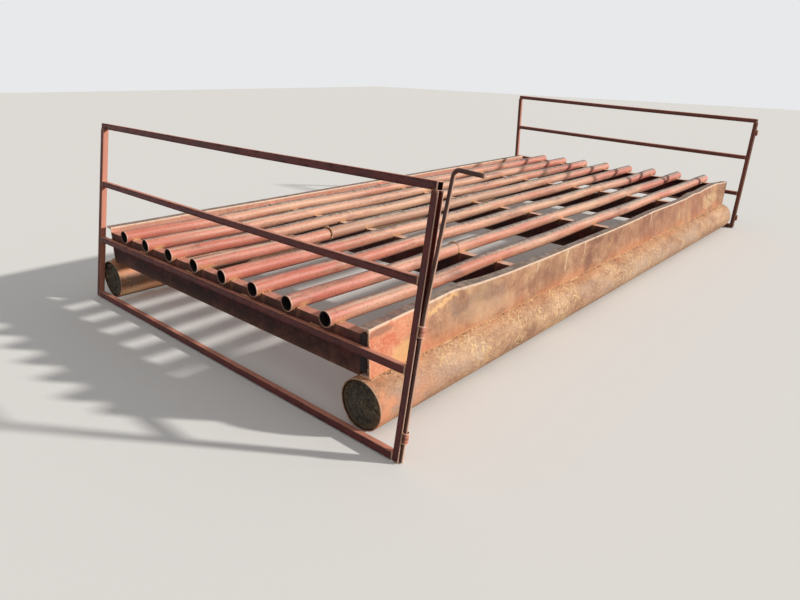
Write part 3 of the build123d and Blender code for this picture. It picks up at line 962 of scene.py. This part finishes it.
guard_paint, shader, where, wear = start_material("guard_paint")
# dark red paint and dark rust, made darker still as painted shade on the faces away from the lamp; the faces
# turned toward the lamp are painted pale, which is painted light
tones = rust(where, 9.0, (50, 23, 22), (82, 38, 32), (130, 76, 60))
paint_and_shade_tone = mix(cloud(where, 6.0, 6.0, 0.64).step(0.38, 0.62), (78, 25, 25), (104, 38, 34))
rubbed = use(worn_places, where, Scale=22.0, Edge=wear, Amount=0.3, Softness=0.07)["Mask"]
facing = facing_way(where.tree)
painted_lit_side = facing[2] * 0.6 - facing[1] * 0.7 + cloud(where, 7.0, 6.0) * 0.5
guard_colour = lay_on(
    paint_and_shade_tone,
    (rubbed, 0.85, tones["Color"]),
    (painted_lit_side.step(0.45, 0.9), 0.82, (224, 150, 124)),
    # pale edges: rubbed through to bare metal, and brightened as a painted highlight
    (wear.step(0.58, 0.9), rubbed * 0.4 + 0.55, (250, 202, 178)),
    (parts(where)[0].calc("GREATER_THAN", 0.0), 0.3, (160, 108, 92)),
    # painted shade: the insides of the tubes dark
    (shaded_inner_skin(wear), 1.0, (40, 26, 22)),
)
end_material(shader, guard_colour, rubbed * 0.25 + 0.6, tones["Height"], 0.22)

guard_axes = {}
for letter, hand in (("a", 1), ("b", -1)):
    lean = guard_leans[letter]
    tip = guard_tips[letter]
    across = Vector((0, hand * math.cos(tip), -math.sin(tip)))
    level_out, rise = -hand * math.cos(lean), math.sin(lean)
    outward = Vector((level_out, -math.sin(tip) * rise, math.cos(tip) * rise))
    guard_axes[letter] = (across, outward, across.cross(outward))


def on_guard(letter, x, y, s):
    """A place in a guard frame: x across it, y out from the grid, s up it."""
    across, outward, upward = guard_axes[letter]
    return guard_start[letter] + across * x + outward * y + upward * s


def square(size, radius, worn):
    half = size / 2
    turns = ((-half, -half), (half, -half), (half, half), (-half, half))
    return rounded([(u, v, radius, worn) for u, v in turns], 3, 0.02)


tube_outer = square(guard_section, 0.004, 0.55)
tube_inner = square(guard_section - 2 * guard_wall, 0.0018, 0.0)
post_corners = [
    (0.0, 0.0, 0.0008, 0.9),
    (guard_section, 0.0, 0.004, 0.6),
    (guard_section, -guard_section, 0.004, 0.6),
    (0.0, -guard_section, 0.0008, 0.9),
    (0.0, guard_wall - guard_section, 0.0008, 0.9),
    (guard_section - guard_wall, guard_wall - guard_section, 0.0015, 0.0),
    (guard_section - guard_wall, -guard_wall, 0.0015, 0.0),
    (0.0, -guard_wall, 0.0008, 0.9),
]
post_outline = rounded(post_corners, 3, 0.02)
right_hand = {"a": -1, "b": 1}

for letter in "ab":
    half = guard_half[letter]
    post_top = guard_levels[letter][3]
    for side in ("right", "left"):
        hand = right_hand[letter] if side == "right" else -right_hand[letter]

        def on_post(u, v, s):
            bend = post_bend * math.sin(math.pi * s / post_top) * hand
            return on_guard(letter, hand * (half - u) + bend, v, s)

        name = "guard_" + letter + "_" + side + "_post_channel"
        post = solid_length(name, post_outline, 0.0, post_top, post_gap, on_post)
        dress(post, guard_paint, "grid", "guard_paint", "guard_" + letter + "_post_" + side)

    for rail_name, level in zip(rail_bends, guard_levels[letter]):
        reach = half - (top_setback if rail_name == "top" else guard_section)

        def on_guard_rail(u, v, s):
            bow_down = rail_bends[rail_name] * math.cos(math.pi * s / (2 * reach)) ** 2
            return on_guard(letter, s, u - guard_section / 2, level + guard_section / 2 + v + bow_down)

        name = "guard_" + letter + "_" + rail_name + "_tube"
        tube = hollow_length(name, tube_outer, tube_inner, -reach, reach, tube_gap, on_guard_rail, 0.2)
        dress(tube, guard_paint, "grid", "guard_paint", "guard_" + letter + "_rail_" + rail_name)

# Sleeves: short lengths of 1 inch pipe nested in the open side of the right-hand posts and welded
# there, two to a post, one above the other, to guide the drop pin.
sleeve_radius = 0.0167
sleeve_wall = 0.0034
sleeve_length = 0.054
sleeve_nest = 0.00541
sleeve_levels = {"a_upper": 0.617, "a_lower": 0.122, "b_upper": 1.059, "b_lower": 0.117}
sleeve_sides = 32
sleeve_gap = 0.02

for sleeve_name, level in sleeve_levels.items():
    letter = sleeve_name[0]

    def on_sleeve(u, v, s):
        x = right_hand[letter] * (guard_half[letter] + sleeve_nest + u)
        return on_guard(letter, x, v - guard_section / 2, level - sleeve_length / 2 + s)

    node = "sleeve_" + sleeve_name
    course = (0.0, sleeve_length, sleeve_gap, on_sleeve, 0.25)
    sleeve = pipe_length(node + "_pipe", sleeve_radius, sleeve_wall, sleeve_sides, *course)
    dress(sleeve, guard_paint, "grid", "guard_paint", node)

# Drop pin: a loose 19 mm round bar in the near pair of sleeves, heated and bent over at the top to
# make a handle. Brown and dark from handling, darkened further as painted shade, with a stripe of
# painted light down the side toward the lamp, and the bends a little scaled.
pin_radius = 0.0095
pin_sides = 20
pin_corners = ((0.00097, 0.0), (0.00932, 0.695), (0.04843, 1.302), (0.1938, 1.293))
pin_bend = 0.026
pin_gap = 0.04
pin_rubbed = (0.55, 0.7)
# at each tip: the distance from it, the share of the full radius and the wear
pin_tip = [(0.0, 0.84, 1.0), (0.0015, 1.0, 1.0), (0.012, 1.0, 0.2)]

pin_steel, shader, where, wear = start_material("pin_steel")
# dark rust tones, darkened further as painted shade; the side toward the lamp gets a pale stripe of painted
# light
tones = rust(where, 12.0, (38, 15, 13), (64, 28, 22), (104, 60, 47))
facing = facing_way(where.tree)
painted_lit_side = facing[0] * 0.6 - facing[1] * 0.8
pin_colour = lay_on(
    tones["Color"],
    (painted_lit_side.step(0.2, 0.75), 0.8, (222, 178, 152)),
    (wear, 0.5, (166, 130, 108)),
)
end_material(shader, pin_colour, 0.62, tones["Height"], 0.25, 0.1)

pin_line = [pin_corners[0]]
for corners in zip(pin_corners, pin_corners[1:], pin_corners[2:]):
    pin_line += rounded_corner(*[Vector(corner) for corner in corners], pin_bend, None)
pin_line = [Vector(point) for point in pin_line + [pin_corners[-1]]]
pin_stops = []
for first, second in zip(pin_line, pin_line[1:]):
    lengths = max(1, round((second - first).length / pin_gap))
    pin_stops += [first + (second - first) * k / lengths for k in range(lengths)]
pin_stops.append(pin_line[-1])

pin_rings = []
for i, stop in enumerate(pin_stops):
    ahead = (pin_stops[min(i + 1, len(pin_stops) - 1)] - pin_stops[max(i - 1, 0)]).normalized()
    level_way = Vector((ahead.y, -ahead.x))
    tips = [(0.0, 1.0, None)]
    if i == 0:
        tips = pin_tip
    elif i == len(pin_stops) - 1:
        tips = [(-shift, share, worn) for shift, share, worn in reversed(pin_tip)]
    for shift, share, worn in tips:
        ring = []
        for k in range(pin_sides):
            turn = 2 * math.pi * k / pin_sides
            flat = stop + ahead * shift + level_way * pin_radius * share * math.cos(turn)
            deep = pin_radius * share * math.sin(turn) - guard_section / 2
            rubbed_here = 0.35 if pin_rubbed[0] < flat.y < pin_rubbed[1] else 0.1
            spot = on_guard("a", -(guard_half["a"] + flat.x), deep, flat.y)
            ring.append((spot, rubbed_here if worn is None else worn))
        pin_rings.append(ring)
pin = loft("drop_pin_bar", pin_rings, False)
dress(pin, pin_steel, "drop_pin", "pin_steel", "drop_pin")

# Weld beads: stick welds laid in short overlapping drops wherever steel meets steel, at the rail
# seats, along the skids, at the beam corners and round the guard frame joints. Left unground.
seat_weld_side = 0.0425
seat_weld_z = 0.4905
skid_weld_z = 0.2698
corner_weld_top = 0.488
near_touch_z = 0.4415
far_touch_z = 0.4795

weld_steel, shader, where, wear = start_material("weld_steel")
tones = rust(where, 16.0, (140, 94, 70), (200, 150, 108), (240, 208, 162))
end_material(shader, tones["Color"], 0.8, tones["Height"], 0.35)

weld_run, entry, leave = start_group(
    "weld_run",
    "GeometryNodeTree",
    {"Geometry": "Geometry", "Pitch": 0.006, "Width": 0.005, "Uneven": 0.3, "Seed": 1, "Finish": "Material"},
    {"Geometry": "Geometry"},
)
seam = put(weld_run, "GeometryNodeMeshToCurve", {"Mesh": entry["Geometry"]})
sockets = {"Curve": seam, "Length": entry["Pitch"]}
marks = put(weld_run, "GeometryNodeResampleCurve", sockets, mode="LENGTH")
drop = put(weld_run, "GeometryNodeMeshUVSphere", {"Segments": 8, "Rings": 5, "Radius": 1.0})
sockets = {2: 1.0 - entry["Uneven"], 3: entry["Uneven"] + 1.0, "Seed": entry["Seed"]}
bulk = put(weld_run, "FunctionNodeRandomValue", sockets, 1, data_type="FLOAT") * entry["Width"]
tangent = put(weld_run, "GeometryNodeInputTangent")
turned = put(weld_run, "FunctionNodeAlignRotationToVector", {"Vector": tangent}, axis="X")
drop_size = join(entry["Pitch"] * 0.95, bulk, bulk)
sockets = {"Points": marks, "Instance": drop, "Rotation": turned, "Scale": drop_size}
laid = put(weld_run, "GeometryNodeInstanceOnPoints", sockets)
real = put(weld_run, "GeometryNodeRealizeInstances", {"Geometry": laid})
soft = put(weld_run, "GeometryNodeSetShadeSmooth", {"Geometry": real})
sockets = {"Geometry": soft, "Material": entry["Finish"]}
feed(leave["Geometry"], put(weld_run, "GeometryNodeSetMaterial", sockets))


def weld(name, seams, pitch, width, uneven, seed):
    verts, edges = [], []
    for seam_points in seams:
        first = len(verts)
        verts += seam_points
        edges += [(first + k, first + k + 1) for k in range(len(seam_points) - 1)]
    mesh = bpy.data.meshes.new(name + "_lines")
    mesh.from_pydata(verts, edges, [])
    values = {"Pitch": pitch, "Width": width, "Uneven": uneven, "Seed": seed, "Finish": weld_steel}
    beads = run_nodes(name, weld_run, mesh, values)
    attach(beads, "grid")


def wander(first, second, amount, lengths=5):
    """A line from first to second that a hand would weld: nearly straight."""
    points = []
    for k in range(lengths + 1):
        point = Vector(first).lerp(Vector(second), k / lengths)
        points.append(point + Vector([hand_random.uniform(-amount, amount) for _ in range(3)]))
    return points


seat_seams = []
for low, high in rail_boxes:
    for cross_low, cross_high in cross_boxes:
        for hand in (-1, 1):
            inset = hand_random.uniform(0.002, 0.01)
            y = pipe_place(low, high)[1] + hand * seat_weld_side
            start = (cross_low.x + inset, y, seat_weld_z)
            seat_seams.append(wander(start, (cross_high.x - inset, y, seat_weld_z), 0.0012))
# joints between lengths of pipe: the rail, where along it, and how far round the weld goes
for number, ring_x, first_turn, last_turn in ((4, -1.80, 0.0, 2 * math.pi), (7, -1.463, -0.3, 2.6)):
    ring_radius, ring_y, ring_z = pipe_place(*rail_boxes[number - 1])
    ring_radius += 0.0005
    ring = []
    for k in range(25):
        turn = first_turn + (last_turn - first_turn) * k / 24
        x = ring_x + hand_random.uniform(-0.0015, 0.0015)
        y = ring_y - ring_radius * math.cos(turn)
        ring.append(Vector((x, y, ring_z + ring_radius * math.sin(turn))))
    seat_seams.append(ring)
weld("seat_welds", seat_seams, 0.006, 0.0074, 0.32, 3)

skid_seams = []
for y in (right_low.y - 0.001, left_high.y - 0.0005, right_high.y, left_low.y - 0.001):
    run_range, gap_range = ((0.2, 0.6), (0.01, 0.03)) if y < 0 else ((0.10, 0.22), (0.10, 0.22))
    x = right_low.x + 0.01
    while x < right_high.x - 0.08:
        run = hand_random.uniform(*run_range)
        gap = hand_random.uniform(*gap_range)
        end = (min(x + run, right_high.x - 0.01), y, skid_weld_z)
        skid_seams.append(wander((x, y, skid_weld_z), end, 0.001, max(3, round(run / 0.08))))
        x += run + gap
weld("skid_welds", skid_seams, 0.008, 0.0062, 0.25, 8)

corner_seams = []
for cross_number, (cross_low, cross_high) in enumerate(cross_boxes, 1):
    web_x = cross_high.x if cross_number == 5 else cross_low.x
    for y, base in ((right_low.y + beam_web + 0.001, 0.303), (left_low.y - 0.001, 0.277)):
        corner_seams.append(wander((web_x, y, base), (web_x, y, corner_weld_top), 0.0008))
# where the guards' low rails touch the grid: how far along, across and up, and half the weld's length
touch_x = right_low.x - 0.0012
touches = [(touch_x, right_low.y + 0.006, near_touch_z, 0.005)]
touches += [(touch_x, y, near_touch_z, 0.035) for y in (-0.77, -0.19, 0.4, 0.98)]
touches.append((touch_x, left_low.y + 0.004, near_touch_z, 0.005))
touches += [(high.x + 0.0005, pipe_place(low, high)[1], far_touch_z, 0.03) for low, high in rail_boxes[:3]]
for x, y, z, reach in touches:
    corner_seams.append(wander((x, y - reach, z), (x, y + reach, z), 0.0006))
weld("corner_welds", corner_seams, 0.007, 0.0048, 0.25, 12)

frame_seams = []


def frame_seam(letter, start, end, lengths=2):
    frame_seams.append(wander(on_guard(letter, *start), on_guard(letter, *end), 0.0003, lengths))


post_faces = (-0.0028, -guard_section)
weld_in, weld_out = -0.004, -0.034
for letter in "ab":
    half = guard_half[letter]
    for hand in (-1, 1):
        x = hand * (half - guard_section)
        for level in guard_levels[letter][:3]:
            rise = 0.016 if level == 0 else 0.004
            for y in post_faces:
                frame_seam(letter, (x, y, level + rise), (x, y, level + 0.034))
            over = level + guard_section
            frame_seam(letter, (x, weld_in, over), (x, weld_out, over))
            if level > 0:
                frame_seam(letter, (x, weld_in, level), (x, weld_out, level))
        level = guard_levels[letter][3]
        for y in post_faces:
            frame_seam(letter, (hand * (half - 0.012), y, level), (hand * (half - 0.036), y, level))
for sleeve_name, level in sleeve_levels.items():
    letter = sleeve_name[0]
    x = right_hand[letter] * (guard_half[letter] + 0.001)
    for y in (-0.0352, -0.0028):
        frame_seam(letter, (x, y, level - 0.024), (x, y, level + 0.024), 3)
weld("frame_welds", frame_seams, 0.0045, 0.0032, 0.22, 21)

# The floor, the light and the camera: a pale studio floor, one distant soft lamp high on the right
# with an even sky, and the camera where the photographer stood, holding it at head height.
floor_half = 30.0
key_way = Vector((0.573, -0.734, 0.365))
camera_spot = (-4.6847, -2.9362, 1.672)
camera_heading, camera_down, camera_roll = 41.16, 21.16, 1.31


def seen_directly(tree):
    """1 for what the camera sees, straight on, in a reflection or through glass."""
    rays = tree.nodes.new("ShaderNodeLightPath").outputs
    kinds = ("Camera", "Glossy", "Transmission")
    straight, mirrored, through = [Reading(rays["Is %s Ray" % kind]) for kind in kinds]
    return straight.calc("MAXIMUM", mirrored.calc("MAXIMUM", through))


floor_mesh = bpy.data.meshes.new("floor")
floor_corners = [(x * floor_half, y * floor_half, 0) for x, y in ((-1, -1), (1, -1), (1, 1), (-1, 1))]
floor_mesh.from_pydata(floor_corners, [], [(0, 1, 2, 3)])
floor = bpy.data.objects.new("floor", floor_mesh)
scene.collection.objects.link(floor)
floor_paint = bpy.data.materials.new("floor_paint")
floor_paint.use_nodes = True
floor_shader = floor_paint.node_tree.nodes["Principled BSDF"]
floor_tone = mix(seen_directly(floor_paint.node_tree), (112, 106, 100), (246, 244, 240))
feed(floor_shader.inputs["Base Color"], floor_tone)
floor_shader.inputs["Roughness"].default_value = 0.9
floor_shader.inputs["Specular IOR Level"].default_value = 0.1
floor_mesh.materials.append(floor_paint)

world = bpy.data.worlds.new("studio")
scene.world = world
world.use_nodes = True
background = world.node_tree.nodes["Background"]
seen = seen_directly(world.node_tree)
feed(background.inputs["Color"], mix(seen, (0.97, 0.97, 0.98, 1.0), (232, 233, 234)))
feed(background.inputs["Strength"], seen * 0.62 + 0.38)

key_data = bpy.data.lights.new("key_lamp", "SUN")
key_data.energy = 3.55
key_data.angle = math.radians(2.5)
key_data.color = (1.0, 0.965, 0.92)
key_lamp = bpy.data.objects.new("key_lamp", key_data)
key_lamp.rotation_euler = key_way.to_track_quat("Z", "Y").to_euler()
scene.collection.objects.link(key_lamp)

camera_data = bpy.data.cameras.new("camera")
camera_data.sensor_width = 36.0
camera_data.lens = 27.59
camera = bpy.data.objects.new("camera", camera_data)
heading = Matrix.Rotation(math.radians(camera_heading - 90), 4, "Z")
look_down = Matrix.Rotation(math.radians(90 - camera_down), 4, "X")
roll = Matrix.Rotation(math.radians(camera_roll), 4, "Z")
camera.matrix_world = Matrix.Translation(camera_spot) @ heading @ look_down @ roll
scene.collection.objects.link(camera)
scene.camera = camera
scene.view_settings.view_transform = "Standard"
